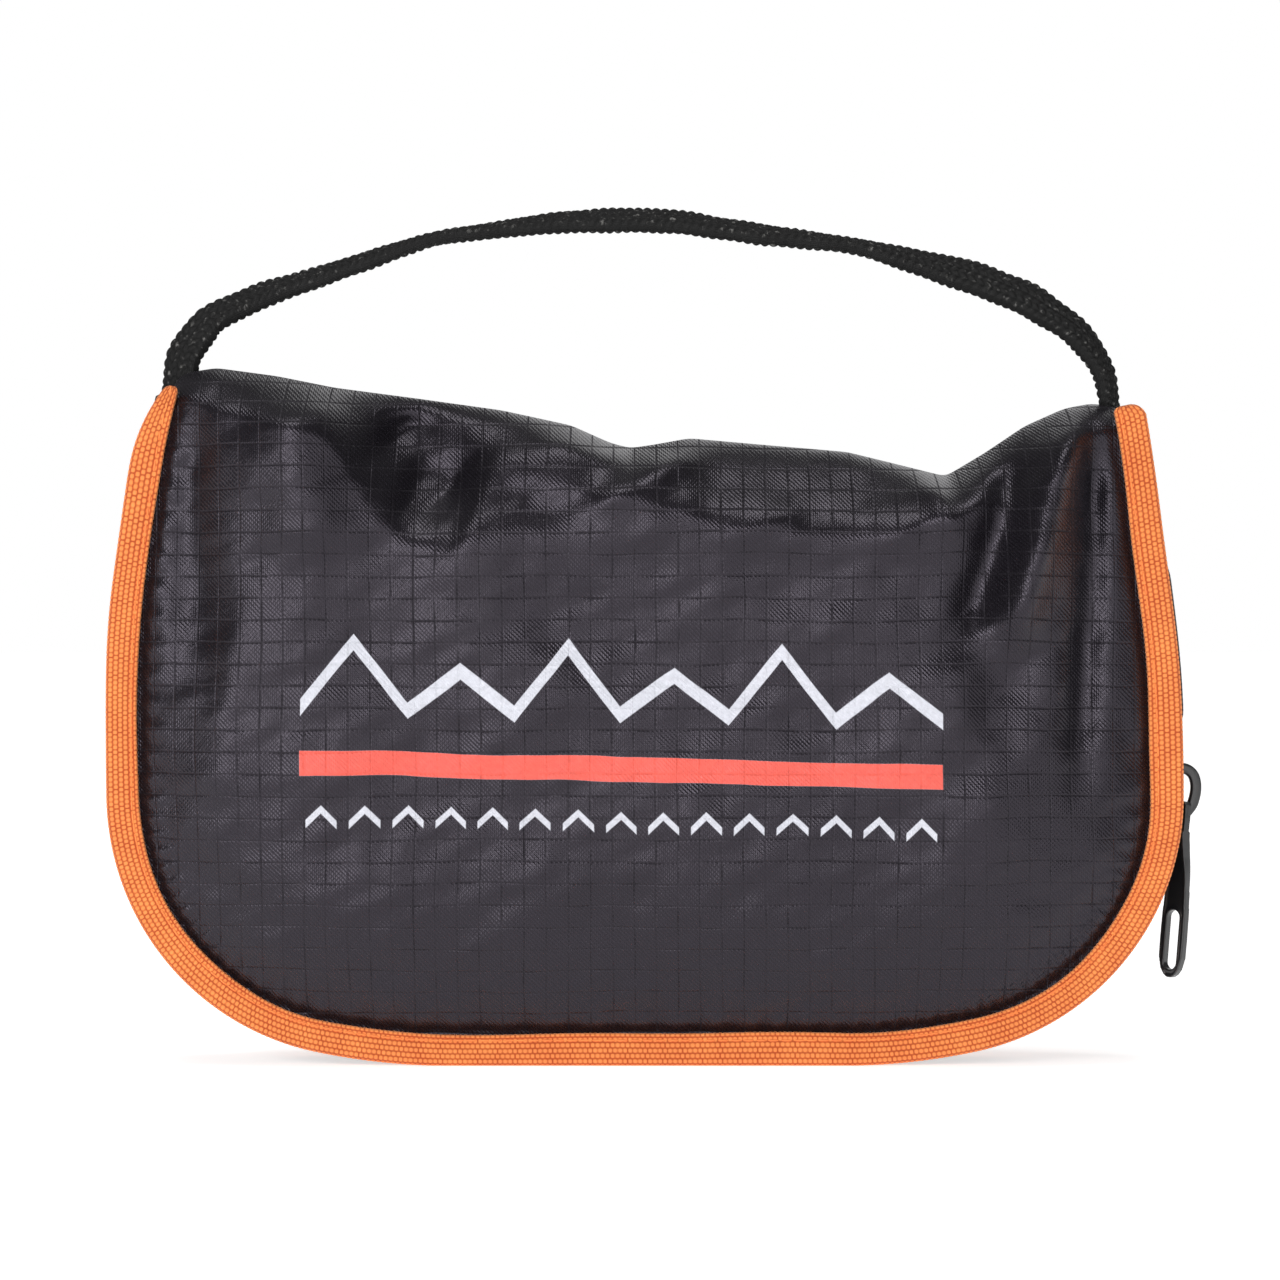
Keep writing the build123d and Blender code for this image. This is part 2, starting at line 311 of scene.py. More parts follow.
def ripstop_material(name, printed):
    m, nt, bsdf = new_material(name)
    u, v, coords = uv_mm(nt)
    du = calc(nt, "MULTIPLY", calc(nt, "SUBTRACT", noise(nt, coords, 22.0), 0.5), 2.4)
    dv = calc(nt, "MULTIPLY", calc(nt, "SUBTRACT", noise(nt, coords, 31.0), 0.5), 2.4)
    u, v = calc(nt, "ADD", u, du), calc(nt, "ADD", v, dv)

    def rip(value, width):
        place = calc(nt, "FLOORED_MODULO", value, RIPSTOP_PITCH)
        d = calc(nt, "ABSOLUTE", calc(nt, "SUBTRACT", place, RIPSTOP_PITCH / 2))
        return calc(nt, "SUBTRACT", 1.0, calc(nt, "DIVIDE", d, width, clamp=True), clamp=True)

    broken = calc(nt, "MULTIPLY_ADD", noise(nt, coords, 160.0, 3.0), 2.2, -0.45, clamp=True)
    grid = calc(nt, "MAXIMUM", rip(u, 0.28), rip(v, 0.32))
    grid = calc(nt, "MULTIPLY", grid, broken)
    diagonal = calc(nt, "SINE", calc(nt, "MULTIPLY", calc(nt, "ADD", u, v), 2 * math.pi / TWILL_PITCH))
    thread = calc(nt, "SINE", calc(nt, "MULTIPLY", u, 2 * math.pi / THREAD_PITCH))
    wave = calc(nt, "ADD", diagonal, calc(nt, "MULTIPLY", thread, 0.5))
    twill = calc(nt, "MULTIPLY_ADD", wave, 0.33, 0.5, clamp=True)
    slub = noise(nt, coords, 900.0, 2.0)
    twill = calc(nt, "MULTIPLY", twill, calc(nt, "MULTIPLY_ADD", slub, 1.1, 0.45))
    cloud = noise(nt, coords, 14.0, 3.0)
    dark = mix(nt, cloud, (0.0006, 0.0005, 0.0007), (0.0014, 0.0011, 0.0016))
    light = mix(nt, cloud, (0.007, 0.0060, 0.0080), (0.013, 0.0113, 0.0149))
    color = mix(nt, twill, dark, light)
    # the ripstop lines are painted darker: partly their denser yarn, partly painted shade in their grooves
    color = mix(nt, calc(nt, "MULTIPLY", grid, 0.85), color, (0.0006, 0.0005, 0.0007))

    rough = calc(nt, "MULTIPLY_ADD", twill, -0.12, 0.36)
    rough = calc(nt, "MULTIPLY_ADD", grid, 0.45, rough)
    height = calc(nt, "SUBTRACT", calc(nt, "MULTIPLY", twill, 0.5), calc(nt, "MULTIPLY", grid, 0.9))
    crinkle = noise(nt, coords, 260.0, 4.0, 0.6)
    height = calc(nt, "MULTIPLY_ADD", crinkle, 1.1, height)
    set_values(bsdf, Sheen_Weight=0.02, Sheen_Roughness=0.4, Specular_IOR_Level=0.4)
    bsdf.inputs["Specular Tint"].default_value = (0.93, 0.84, 1.0, 1)
    bsdf.inputs["Sheen Tint"].default_value = (0.83, 0.78, 0.9, 1)
    if not printed:
        nt.links.new(color, bsdf.inputs["Base Color"])
        nt.links.new(rough, bsdf.inputs["Roughness"])
        bump(nt, bsdf, height, CLOTH_BUMP)
        return m

    # the print: a range of peaks over a stripe and a row of small chevrons, drooping to the right
    level = calc(nt, "ADD", v, calc(nt, "MULTIPLY", calc(nt, "ADD", u, 79.0), PRINT_DROOP))
    inside = band(nt, u, PRINT_LEFT, PRINT_RIGHT)

    def zigzag(period, height, stroke, base, alternate=1.0):
        cell = calc(nt, "DIVIDE", calc(nt, "ADD", u, -PRINT_LEFT), period)
        part = calc(nt, "FRACT", cell)
        peak = calc(nt, "SUBTRACT", 1.0, calc(nt, "ABSOLUTE", calc(nt, "MULTIPLY_ADD", part, 2.0, -1.0)))
        odd = calc(nt, "FLOORED_MODULO", calc(nt, "FLOOR", cell), 2.0)
        tall = calc(nt, "MULTIPLY_ADD", odd, (alternate - 1.0) * height, height)
        line = calc(nt, "MULTIPLY_ADD", peak, tall, base)
        half_stroke = stroke * math.hypot(1, 2 * height / period) / 2
        return band(nt, calc(nt, "SUBTRACT", level, line), -half_stroke, half_stroke, 0.25), part

    peaks, _ = zigzag(PEAK_PERIOD, 15.2, 2.5, 82.6, 0.62)
    chevrons, part = zigzag(CHEVRON_PERIOD, 4.6, 1.5, 55.4)
    chevrons = calc(nt, "MULTIPLY", chevrons, band(nt, part, 0.13, 0.87, 0.02))
    pale = calc(nt, "MULTIPLY", calc(nt, "MAXIMUM", peaks, chevrons), inside)
    stripe = calc(nt, "MULTIPLY", band(nt, level, STRIPE_LOW, STRIPE_HIGH), inside)
    wear = calc(nt, "MULTIPLY_ADD", noise(nt, coords, 700.0, 4.0, 0.7), 0.5, 0.62, clamp=True)
    ink = calc(nt, "MULTIPLY", calc(nt, "MAXIMUM", pale, stripe), wear)
    white = mix(nt, slub, (0.50, 0.51, 0.56), (0.66, 0.67, 0.73))
    coral = mix(nt, slub, (0.72, 0.088, 0.058), (0.84, 0.125, 0.085))
    color = mix(nt, ink, color, mix(nt, stripe, white, coral))
    nt.links.new(color, bsdf.inputs["Base Color"])
    nt.links.new(calc(nt, "MULTIPLY_ADD", ink, 0.12, rough), bsdf.inputs["Roughness"])
    bump(nt, bsdf, calc(nt, "MULTIPLY_ADD", ink, 0.35, height), CLOTH_BUMP)
    return m


def woven_material(name, deep, high, rough, sheen, tint, fleck=0.0, fiber=1.0):
    """Tape or webbing whose relief is real: the recesses are painted darker as shade, in the deep colour,
    and the floats carry fibres.
    """
    m, nt, bsdf = new_material(name)
    u, v, coords = uv_mm(nt)
    relief = nt.nodes.new("ShaderNodeAttribute")
    relief.attribute_name = "relief"
    height = relief.outputs["Fac"]
    fibre = calc(nt, "SINE", calc(nt, "MULTIPLY", u, 2 * math.pi / (0.21 * fiber)))
    patch = noise(nt, coords, 120.0, 3.0)
    fine = noise(nt, coords, 1500.0, 2.0, 0.7)
    # floats is 1 on the raised floats and 0 in the recesses; mixing by it paints the recesses in the deep
    # colour as painted shade
    floats = calc(nt, "MULTIPLY_ADD", height, 1.9, -0.42, clamp=True)
    shade = calc(nt, "MULTIPLY_ADD", fibre, 0.08, calc(nt, "MULTIPLY", floats, 0.8))
    shade = calc(nt, "ADD", shade, calc(nt, "MULTIPLY_ADD", patch, 0.5, -0.25), clamp=True)
    # painted shade in the recesses (deep), over random tone (patch) and fibre lines
    color = mix(nt, shade, deep, high)
    if fleck:
        spot = calc(nt, "MULTIPLY_ADD", noise(nt, coords, 620.0, 3.0, 0.65), 7.0, -4.05, clamp=True)
        spot = calc(nt, "MULTIPLY", spot, floats)
        color = mix(nt, calc(nt, "MULTIPLY", spot, fleck), color, (0.15, 0.147, 0.14))
    nt.links.new(color, bsdf.inputs["Base Color"])
    nt.links.new(calc(nt, "MULTIPLY_ADD", patch, 0.16, rough - 0.08), bsdf.inputs["Roughness"])
    bump(nt, bsdf, calc(nt, "MULTIPLY_ADD", fibre, 0.35, fine), 0.00007)
    set_values(bsdf, Sheen_Weight=sheen, Sheen_Roughness=0.4, Specular_IOR_Level=0.3)
    bsdf.inputs["Sheen Tint"].default_value = (*tint, 1)
    return m


def solid_material(name, low, high, rough, scale, depth, coat=0.0):
    """Enamel, moulded nylon or thread: small changes of colour and gloss over a fine surface."""
    m, nt, bsdf = new_material(name)
    coords = nt.nodes.new("ShaderNodeTexCoord").outputs["Object"]
    broad, fine = noise(nt, coords, scale * 0.25, 3.0), noise(nt, coords, scale * 4, 2.0, 0.6)
    nt.links.new(mix(nt, broad, low, high), bsdf.inputs["Base Color"])
    nt.links.new(calc(nt, "MULTIPLY_ADD", broad, 0.14, rough - 0.07), bsdf.inputs["Roughness"])
    bump(nt, bsdf, fine, depth, 0.6)
    set_values(bsdf, Coat_Weight=coat, Coat_Roughness=0.25)
    return m


ripstop = ripstop_material("ripstop_printed", True)
ripstop_plain = ripstop_material("ripstop_plain", False)
# the first colour of each tape is the painted shade in its recesses, the second its own colour on the floats
orange_tape = woven_material(
    "orange_tape", (0.42, 0.058, 0.010), (0.95, 0.315, 0.085), 0.75, 0.2, (1.0, 0.8, 0.6)
)
black_tape = woven_material(
    "black_zip_tape", (0.004, 0.004, 0.0045), (0.022, 0.022, 0.025), 0.7, 0.12, (0.8, 0.8, 0.9)
)
black_web = woven_material(
    "black_webbing", (0.0002, 0.0002, 0.0002), (0.0042, 0.0040, 0.0040), 0.72, 0.0, (0.9, 0.9, 0.9),
    fleck=1.0, fiber=1.6,
)
orange_thread = solid_material("orange_thread", (0.70, 0.15, 0.03), (0.93, 0.27, 0.06), 0.6, 900, 0.00005)
black_thread = solid_material("black_thread", (0.006, 0.006, 0.006), (0.02, 0.02, 0.02), 0.55, 900, 0.00005)
coil_nylon = solid_material("coil_nylon", (0.007, 0.007, 0.008), (0.018, 0.018, 0.020), 0.36, 300, 0.00002)
stop_resin = solid_material("stop_resin", (0.008, 0.008, 0.009), (0.020, 0.020, 0.022), 0.42, 500, 0.00004)
enamel = solid_material(
    "black_enamel", (0.006, 0.006, 0.007), (0.014, 0.014, 0.015), 0.34, 350, 0.00003, coat=0.35
)


def dress(obj, material, body=None, replaced=()):
    obj.data.materials.clear()
    obj.data.materials.append(material)
    if body:
        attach(obj, body)
    if replaced:
        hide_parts(*replaced)
    return obj


# ---------------------------------------------------------------- the folded sheet
CROWN = np.array([
    (-110.6, 157.6), (-107.0, 160.4), (-100.1, 161.5), (-86, 159.6), (-72.5, 156.9), (-52, 154.2),
    (-33.4, 151.6), (-17.3, 148.1), (-8.1, 144.0), (-3.5, 142.8), (2, 143.6), (10.3, 145.1), (28.3, 143.5),
    (47.1, 141.9), (60.9, 138.5), (70.1, 136.2), (79.3, 141.7), (88.5, 147.9), (97.7, 152.0),
    (104, 153.2), (109.6, 152.6),
])
crown_x = np.linspace(CROWN[0, 0], CROWN[-1, 0], 441)
crown_z = np.interp(crown_x, CROWN[:, 0], CROWN[:, 1])
kernel = np.exp(-np.linspace(-2, 2, 13) ** 2)
crown_z = np.convolve(np.pad(crown_z, 6, mode="edge"), kernel / kernel.sum(), mode="valid")

EDGE_IN = 5.4
PANEL_A, PANEL_B = 330, 210
rim_p, rim_n, rim_s = rim_curve(0.5)
sewn = rim_p - EDGE_IN * rim_n
edge = warp(np.stack([sewn[:, 0], np.zeros(len(sewn)), sewn[:, 1]], 1))[:, [0, 2]]
CORNER_TURN = math.sin(math.radians(52))
corner_s = rim_s[np.argmax((rim_n[:, 0] > CORNER_TURN) & (rim_p[:, 0] > 0))]


def edge_at(s):
    return np.stack([np.interp(s, rim_s, edge[:, 0]), np.interp(s, rim_s, edge[:, 1])], -1)


def sheet_plan():
    """The places of the panel's grid in x and z, by blending its four sides."""
    a = np.linspace(0, 1, PANEL_A + 1)
    q = np.linspace(1, 0, PANEL_B + 1)
    soft = 0.12
    b = 1 - (np.sqrt(q * q + soft * soft) - soft) / (math.sqrt(1 + soft * soft) - soft)
    total = rim_s[-1]
    left, right = edge_at((total - corner_s) * (1 - b)), edge_at(corner_s + (total - corner_s) * b)
    bottom = edge_at((total - corner_s) + (2 * corner_s - total) * a)
    tx = edge[0, 0] + (edge[-1, 0] - edge[0, 0]) * a
    top = np.stack([tx, np.interp(tx, crown_x, crown_z)], -1)
    top[0], top[-1] = edge[0], edge[-1]
    A, B = a[None, :, None], b[:, None, None]
    plan = (1 - B) * bottom[None] + B * top[None] + (1 - A) * left[:, None] + A * right[:, None]
    plan -= (1 - A) * (1 - B) * bottom[0] + A * (1 - B) * bottom[-1] + (1 - A) * B * top[0] + A * B * top[-1]
    return plan


def nearest_edge(points):
    """Distance from the sewn edge and the length along it, for each point."""
    flat = points.reshape(-1, 2)
    coarse = slice(None, None, 2)
    target, length = edge[coarse], rim_s[coarse]
    dist, at = np.zeros(len(flat)), np.zeros(len(flat))
    for k in range(0, len(flat), 6000):
        d = np.linalg.norm(flat[k:k + 6000, None] - target[None], axis=2)
        best = d.argmin(1)
        dist[k:k + 6000], at[k:k + 6000] = d[np.arange(len(best)), best], length[best]
    return dist.reshape(points.shape[:-1]), at.reshape(points.shape[:-1])


def crease(x, z, fold):
    """A rounded fold along a line: x and z of both ends, half width and height."""
    x0, z0, x1, z1, width, height = fold
    along = np.array([x1 - x0, z1 - z0])
    size = np.linalg.norm(along)
    t = ((x - x0) * along[0] + (z - z0) * along[1]) / size ** 2
    d = ((x - x0) * along[1] - (z - z0) * along[0]) / size
    fade = np.exp(-(np.clip(np.abs(t - 0.5) - 0.32, 0, None) / 0.2) ** 2)
    return height * np.exp(-((d / width) ** 2)) * fade


FRONT_FOLDS = [  # x, z, x, z, half width, height: x from the middle of the case
    (-60, 148, -42, 132, 10.0, -9.0),
    (-56, 133, -40, 126, 8.0, -3.5),
    (-81, 152, -75, 118, 9.0, 4.8),
    (-24, 143, 6, 141, 4.0, 2.2),
    (-34, 131, -8, 129, 6.0, -2.0),
    (-50, 119, 10, 124, 8.0, 1.8),
    (-14, 127, 12, 142, 3.4, 2.6),
    (14, 126, 64, 122, 6.0, 2.8),
    (20, 112, 60, 110, 8.0, -1.2),
    (65, 136, 70, 122, 4.0, 2.6),
    (73, 100, 85, 138, 4.6, -4.8),
    (84, 98, 98, 149, 5.0, 6.6),
    (104, 144, 99, 70, 4.2, -5.0),
    (86, 100, 74, 66, 6.0, -2.0),
    (-105, 148, -102, 90, 6.0, -3.0),
    (-92, 104, -98, 60, 7.0, 1.6),
    (-30, 100, 30, 94, 10.0, -1.0),
    (70, 96, 80, 52, 6.0, 1.4),
]
BACK_FOLDS = [
    (-70, 150, -30, 138, 9.0, -5.0),
    (-24, 138, 20, 128, 7.0, 3.0),
    (30, 142, 66, 122, 8.0, -3.4),
    (66, 126, 98, 150, 4.5, 3.8),
    (-84, 152, -92, 106, 7.0, 3.0),
    (104, 140, 96, 84, 4.0, -3.0),
    (-104, 140, -98, 80, 5.0, -2.2),
    (-40, 96, 44, 86, 12.0, -1.4),
]


def eased(points, at):
    """The value of a table of (place, value) pairs, with its corners rounded off."""
    fine = np.linspace(points[0][0], points[-1][0], 441)
    value = np.interp(fine, *zip(*points))
    soft_kernel = np.exp(-np.linspace(-2, 2, 33) ** 2)
    value = np.convolve(np.pad(value, 16, mode="edge"), soft_kernel / soft_kernel.sum(), mode="valid")
    return np.interp(at, fine, value)


# how far below the crown each part of the front comes fully forward
FRONT_REACH = [
    (-112, 16), (-98, 17), (-89, 13), (-72, 13), (-62, 30), (-54, 38), (-42, 34), (-26, 20), (-12, 15),
    (-4, 14),
    (6, 16), (16, 25), (48, 26), (58, 18), (67, 11), (74, 12), (83, 18), (92, 18), (104, 16), (112, 16),
]
BACK_REACH = [(-112, 14), (-70, 20), (-20, 26), (40, 22), (80, 14), (112, 14)]


def ripples(x, z, seed, height, shortest=16, longest=60):
    """Shallow unevenness from a few seeded waves, the longer the higher."""
    waves, out = np.random.default_rng(seed), np.zeros_like(x)
    for _ in range(14):
        size, turn = waves.uniform(shortest, longest), waves.uniform(0, math.pi)
        phase = waves.uniform(0, 2 * math.pi)
        out += size * np.sin(2 * math.pi * (x * math.cos(turn) + z * math.sin(turn)) / size + phase)
    return height * out / 160


plan = sheet_plan()
px, pz = plan[..., 0], plan[..., 1]
away, along_edge = nearest_edge(plan)
drop = np.clip(np.interp(px, crown_x, crown_z) - pz, 0, None)
drop[-1] = 0


def panel_depth(folds, reach_table, seed, pucker_seed):
    """How far the sheet stands from the middle of the case at each grid point."""
    free = np.clip(away - 1.6, 0, None)
    dome = SEAM_Y + 13.6 * (1 - (1 - np.clip(free / 44, 0, 1)) ** 2.3)
    reach = eased(reach_table, px) * (0.5 + 0.5 * smooth(away / 30))
    cap = (1 - (1 - np.clip(drop / reach, 0, 1)) ** 1.7) ** 0.72
    held = smooth(free / 9) * smooth(drop / 7)
    extra = sum(crease(px, pz, fold) for fold in folds)
    extra = extra + ripples(px, pz, seed, 0.9) + ripples(px, pz, seed + 1, 0.9, 5, 14)
    pitch = 6.1 + 0.5 * np.sin(along_edge / 37 + pucker_seed)
    pucker = np.sin(2 * math.pi * along_edge / pitch + 1.3 * np.sin(along_edge / 19 + pucker_seed))
    near = np.exp(-((free - 3.2) / 3.0) ** 2) * smooth(drop / 20)
    sunk = 1.0 * np.exp(-((free - 1.2) / 1.3) ** 2) * smooth(drop / 12)
    depth = dome * cap + extra * held + 0.42 * pucker * near - sunk
    depth[-1] = 0
    return np.maximum(depth, 0)


front_depth = panel_depth(FRONT_FOLDS, FRONT_REACH, 3, 0.4)
back_depth = panel_depth(BACK_FOLDS, BACK_REACH, 11, 2.1)
cols = front_depth.shape[1]
front_v = np.stack([px, -front_depth, pz], -1)
back_v = np.stack([px, back_depth, pz], -1)

# one continuous grid: front rim, crown, back rim
sheet_v = np.concatenate([front_v, back_v[-2::-1]])
BACK_UV = 330.0
sheet_uv = np.concatenate([np.stack([px, pz], -1), np.stack([px, BACK_UV - pz], -1)[-2::-1]])
grid_i, grid_j = np.meshgrid(np.arange(len(sheet_v) - 1), np.arange(cols - 1), indexing="ij")
corner = grid_i * cols + grid_j
sheet_faces = np.stack([corner, corner + 1, corner + cols + 1, corner + cols], -1).reshape(-1, 4).tolist()
shell = build("ripstop_sheet", sheet_v.reshape(-1, 3), sheet_faces, sheet_uv.reshape(-1, 2))
SHEET_T = 0.35
solidify = shell.modifiers.new("thickness", "SOLIDIFY")
solidify.thickness, solidify.offset = SHEET_T * MM, -1
solidify.material_offset = 1
dress(shell, ripstop, None, ("front_panel", "back_panel"))
shell.data.materials.append(ripstop_plain)

# gables that close the ends of the fold; the right one stops short of the slider's highest place
GABLE_STEPS, GABLE_UV = 13, 150
gable_v, gable_f, gable_uv = [], [], []
for column, out, deepest in ((0, -1, 16), (cols - 1, 1, 8.5)):
    gable_rows = np.where(drop[:, column] < deepest)[0]
    first = len(gable_v)
    for j in gable_rows[:-1]:
        f, b = front_v[j, column], back_v[j, column]
        for t in np.linspace(0, 1, GABLE_STEPS):
            p = f + (b - f) * t
            p = p + np.array([out * 1.8 * math.sin(math.pi * t), 0, 0.0])
            gable_v.append(p)
            gable_uv.append((p[1] + out * GABLE_UV, p[2]))
    n = len(gable_rows) - 1
    for j in range(n - 1):
        for k in range(GABLE_STEPS - 1):
            base = first + j * GABLE_STEPS + k
            gable_f.append((base, base + 1, base + GABLE_STEPS + 1, base + GABLE_STEPS))
    apex = len(gable_v)
    gable_v.append(front_v[-1, column])
    gable_uv.append((out * GABLE_UV, front_v[-1, column, 2]))
    last_row = first + (n - 1) * GABLE_STEPS
    gable_f += [(last_row + k, last_row + k + 1, apex) for k in range(GABLE_STEPS - 1)]
gables = build("fold_gables", np.array(gable_v), gable_f, np.array(gable_uv))
gable_skin = gables.modifiers.new("thickness", "SOLIDIFY")
gable_skin.thickness = SHEET_T * MM
dress(gables, ripstop_plain)

for piece in (shell, gables):
    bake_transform(piece)

# ---------------------------------------------------------------- binding and its seam
STITCH_PITCH, STITCH_IN, STITCH_L, STITCH_R = 2.9, 5.9, 2.5, 0.24
for end, side in (("front", -1), ("back", 1)):
    section, normal, q = section_box(-BINDING_W, 0.0, RIM_BACK, RIM_FRONT, 0.45, 1.22, 0.25)
    section = section.copy()
    middle = np.exp(-(((section[:, 0] + BINDING_W / 2 - 0.6) / 3.0) ** 2))
    section[:, 1] += np.where(section[:, 1] > SEAM_Y + 0.9, 0.18 * middle, 0)
    seam_dip = np.exp(-(((section[:, 0] + STITCH_IN) / 0.5) ** 2))
    section[:, 1] -= np.where(section[:, 1] > SEAM_Y + 0.9, 0.22 * seam_dip, 0)
    section[:, 1] *= side
    normal = normal * np.array([1, side])

    def wander(p, s, sec):
        drift = 0.22 * np.sin(s / 23.0 + side) + 0.14 * np.sin(s / 7.3 + 2 * side)
        inner = np.clip(-sec[:, 0] / BINDING_W, 0, 1)
        return np.stack([drift[:, None] * inner[None, :], np.zeros((len(s), len(sec)))], -1)

    def tip(off, s):
        """The ends are drawn in: the left one tapers over 20 mm, and both are rounded over."""
        left = 4.6 * (1 - np.clip(s / 20.0, 0, 1)) ** 2.2
        right = 1.3 * (1 - smooth((s[-1] - s) / 3.0))
        width = 1 - (left + right)[:, None] / BINDING_W
        nose = np.minimum(s, s[-1] - s)[:, None]
        round_off = np.sqrt(np.clip(1 - (1 - np.clip(nose / 1.4, 0, 1)) ** 2, 0.02, 1))
        out = off.copy()
        out[..., 0] = -BINDING_W + (off[..., 0] + BINDING_W) * width
        centre = out[..., 0].mean(1, keepdims=True)
        out[..., 0] = centre + (out[..., 0] - centre) * (0.35 + 0.65 * round_off)
        out[..., 1] = side * SEAM_Y + (out[..., 1] - side * SEAM_Y) * round_off
        return out

    tape = along_rim(
        end + "_binding_tape", section, normal, q, 0.27, RIM_TOP, 0.16, (1.22, 1.15), wander, tip
    )
    dress(tape, orange_tape, end, (end + "_binding",))

    p, n, s = rim_curve(0.25)
    where = np.interp(np.arange(1.5, s[-1] - 1.5, STITCH_PITCH), s, np.arange(len(s))).astype(int)
    tang = np.gradient(p, axis=0)
    tang /= np.linalg.norm(tang, axis=1)[:, None]
    line = p[where] - STITCH_IN * n[where]
    depth = np.full(len(where), side * (RIM_FRONT + 0.02))
    spots = warp(np.stack([line[:, 0], depth, line[:, 1]], 1))
    tangents = np.stack([tang[where, 0], np.zeros(len(where)), tang[where, 1]], 1)
    normals = np.tile([0.0, side, 0.0], (len(where), 1))
    seam = capsules(end + "_binding_stitches", spots, tangents, normals, STITCH_L, STITCH_R)
    dress(seam, orange_thread, end, (end + "_binding_seam",))

# ---------------------------------------------------------------- zip tapes, coils and stops
def tape_bulge(p, s, sec):
    """The tape ruffles out a little at the sides, between the slider and the binding."""
    side_part = smooth((p[:, 1] - 68) / 14) * (1 - smooth((p[:, 1] - 112) / 16))
    amount = np.where(p[:, 0] > 0, 4.7, 4.3 * smooth((p[:, 1] - 76) / 12)) * side_part
    share = np.clip((np.abs(sec[:, 1]) - 6.6) / (RIM_BACK - 6.6), 0, 1)
    lift = np.sin(math.pi * share) ** 2
    return np.stack([amount[:, None] * lift[None, :], np.zeros((len(p), len(sec)))], -1)


def open_share(p):
    """0 where the rows are meshed, 1 where they are parted, above the slider on the right."""
    return np.where(p[:, 0] > 0, smooth((p[:, 1] - CORNER_Z + 1) / 5), 0)


def coil_row(name, side):
    pitch, wire, per_turn, m = 1.9, 0.43, 14, 6
    p, n, s = rim_curve(0.25, COIL_TOP)
    steps = np.arange(0, s[-1], pitch / per_turn)
    cx, cz = np.interp(steps, s, p[:, 0]), np.interp(steps, s, p[:, 1])
    nx, nz = np.interp(steps, s, n[:, 0]), np.interp(steps, s, n[:, 1])
    centre = np.stack([cx, cz], 1)
    apart = open_share(centre)
    y0 = side * (COIL_W / 2 - 0.28 + apart * (1.35 + 0.28))
    turn = 2 * math.pi * steps / pitch + (math.pi if side > 0 else 0)
    up = (COIL_H / 2 - wire) * np.sin(turn) + COIL_H / 2 - TAPE_IN
    over = (COIL_W / 2 - wire + 0.05) * np.cos(turn)
    axis = np.stack([cx + nx * up, y0 + over, cz + nz * up], 1)
    heart = np.stack([cx + nx * (COIL_H / 2 - TAPE_IN), y0, cz + nz * (COIL_H / 2 - TAPE_IN)], 1)
    t = np.gradient(axis, axis=0)
    t /= np.linalg.norm(t, axis=1)[:, None]
    radial = axis - heart
    radial -= t * np.einsum("ij,ij->i", radial, t)[:, None]
    radial /= np.linalg.norm(radial, axis=1)[:, None]
    b = np.cross(t, radial)
    ring = np.arange(m) * 2 * math.pi / m
    round_wire = radial[:, None] * np.cos(ring)[None, :, None] + b[:, None] * np.sin(ring)[None, :, None]
    v = axis[:, None] + wire * round_wire
    return build(name, warp(v.reshape(-1, 3)), tube_faces(len(axis), m))


for end, side in (("front", -1), ("back", 1)):
    section, normal, q = section_box(-TAPE_IN - TAPE_T, -TAPE_IN, TAPE_EDGE, RIM_BACK + 0.35, 0.1, 0.1, 0.4)
    section = section * np.array([1, side])
    normal = normal * np.array([1, side])
    tape = along_rim(end + "_tape", section, normal, q, 0.5, RIM_TOP - 0.5, 0.05, (0.8, 1.2), tape_bulge)
    dress(tape, black_tape, end, (end + "_zip_tape",))
    coil = coil_row(end + "_coil", side)
    dress(coil, coil_nylon, end, (end + "_zip_coil",))


def stop_piece(name, low, high, right, y0, y1):
    """A moulded stop across the coil's width, at the right or left end of the zip."""
    section, normal, q = section_box(-TAPE_IN - TAPE_T - 0.2, -TAPE_IN + COIL_H, y0, y1, 0.3, 0.8, 0.3)
    p, n, s = rim_curve(0.4, high)
    keep = (p[:, 0] > 0) == right
    keep &= p[:, 1] >= low
    p, n = p[keep], n[keep]
    t = np.linspace(-1, 1, len(p))
    size = 1 - 0.28 * np.abs(t) ** 5
    mid = section.mean(0)
    off = mid + (section - mid)[None] * size[:, None, None]
    v = on_rim(p, n, off)
    return build(name, warp(v.reshape(-1, 3)), tube_faces(len(p), len(section)))


for end, side in (("front", -1), ("back", 1)):
    low, high = sorted((side * 1.35, side * (1.35 + COIL_W)))
    stop = stop_piece(end + "_stop", COIL_TOP + 0.3, COIL_TOP + 2.5, True, low, high)
    dress(stop, stop_resin, end, (end + "_top_stop",))
stop = stop_piece("left_stop", COIL_TOP + 0.3, COIL_TOP + 2.5, False, -COIL_W - 0.15, COIL_W + 0.15)
dress(stop, stop_resin, "back", ("bottom_stop",))


# ---------------------------------------------------------------- slider and pull
def catmull(points, per_span):
    out, padded = [], np.concatenate([[2 * points[0] - points[1]], points, [2 * points[-1] - points[-2]]])
    for k in range(len(points) - 1):
        p0, p1, p2, p3 = padded[k:k + 4]
        for t in np.linspace(0, 1, per_span, endpoint=False):
            square, cube = 2 * p0 - 5 * p1 + 4 * p2 - p3, 3 * p1 - p0 - 3 * p2 + p3
            out.append(0.5 * (2 * p1 + (p2 - p0) * t + square * t * t + cube * t ** 3))
    out.append(points[-1])
    return np.array(out)


